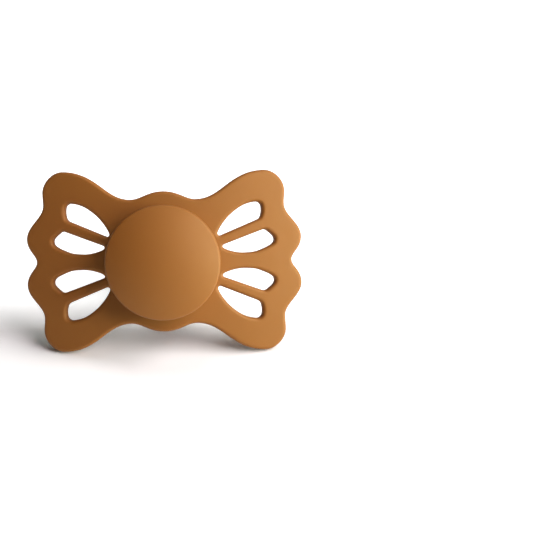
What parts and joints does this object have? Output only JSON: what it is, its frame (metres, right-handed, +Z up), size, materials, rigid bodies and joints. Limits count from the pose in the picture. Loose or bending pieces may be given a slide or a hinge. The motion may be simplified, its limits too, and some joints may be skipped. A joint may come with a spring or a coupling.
{
  "type": "pacifier",
  "caption": "Pacifier with a ventilated butterfly-shaped shield, a round domed knob and a bulb-shaped silicone teat clamped by an inner plug.",
  "frame": {"origin": "on the ground, under the middle of the pacifier's bounding box, as it stands by itself on its two lower corner lobes and the teat's bulb", "axes": "+X along the shield's long side, -Y the side that the knob faces, +Z up"},
  "size_m": [0.0584, 0.0414, 0.0345],
  "materials": {
    "shield_plastic": "satin mustard polypropylene",
    "knob_plastic": "satin mustard polypropylene, smooth dome",
    "plug_plastic": "plain mustard polypropylene",
    "teat_silicone": "frosted translucent silicone, slightly glossy"
  },
  "bodies": {
    "shield_body": {"shield": "shield_plastic", "knob": "knob_plastic", "plug": "plug_plastic"},
    "teat_body": {"teat": "teat_silicone"}
  },
  "joints": [
    {"name": "teat_flex", "type": "hinge", "parent": "shield_body", "child": "teat_body", "pos_m": [0, -0.00688, 0.01775], "axis": [1, 0, 0], "range_deg": [-25, 25], "stiffness_Nm_per_rad": 0.05, "deforming": ["teat"]}
  ]
}
